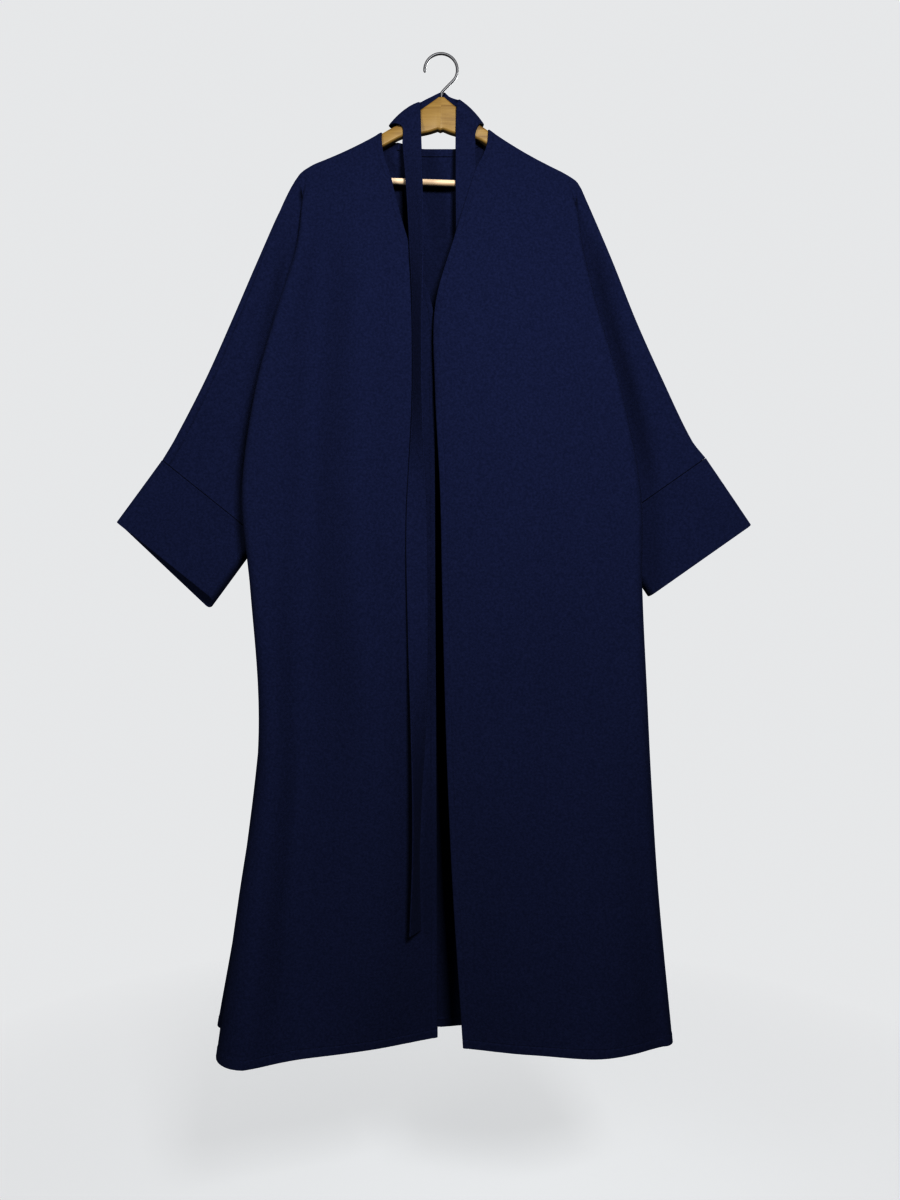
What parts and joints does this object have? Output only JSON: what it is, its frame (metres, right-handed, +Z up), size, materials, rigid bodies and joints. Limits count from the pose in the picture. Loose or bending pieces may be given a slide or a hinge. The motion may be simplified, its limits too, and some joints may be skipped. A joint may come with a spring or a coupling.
{
  "type": "abaya coat on a hanger",
  "caption": "Long open-front abaya coat with dolman sleeves, deep cuffs and a loose tie belt, hanging on a flat wooden hanger with a wire hook.",
  "frame": {"origin": "inside top of the hanger's hook, where the hanger hangs", "axes": "+Z up, -Y out of the coat's front, +X towards the wearer's left sleeve"},
  "size_m": [0.9543, 0.1516, 1.4731],
  "materials": {
    "cloth": "matte navy crepe",
    "hanger_wood": "varnished light wood",
    "bar_wood": "plain pale wood",
    "hook_steel": "bright steel wire"
  },
  "bodies": {
    "root": {"front_right": "cloth", "front_left": "cloth", "back": "cloth", "skirt_front_right": "cloth", "skirt_front_left": "cloth", "skirt_back": "cloth", "sleeve_front_right": "cloth", "sleeve_back_right": "cloth", "sleeve_front_left": "cloth", "sleeve_back_left": "cloth", "back_neck_facing": "cloth", "cuff_right": "cloth", "cuff_left": "cloth", "belt": "cloth", "hanger_arm_right": "hanger_wood", "hanger_arm_left": "hanger_wood", "hanger_bar": "bar_wood", "hanger_hook": "hook_steel"}
  },
  "joints": []
}
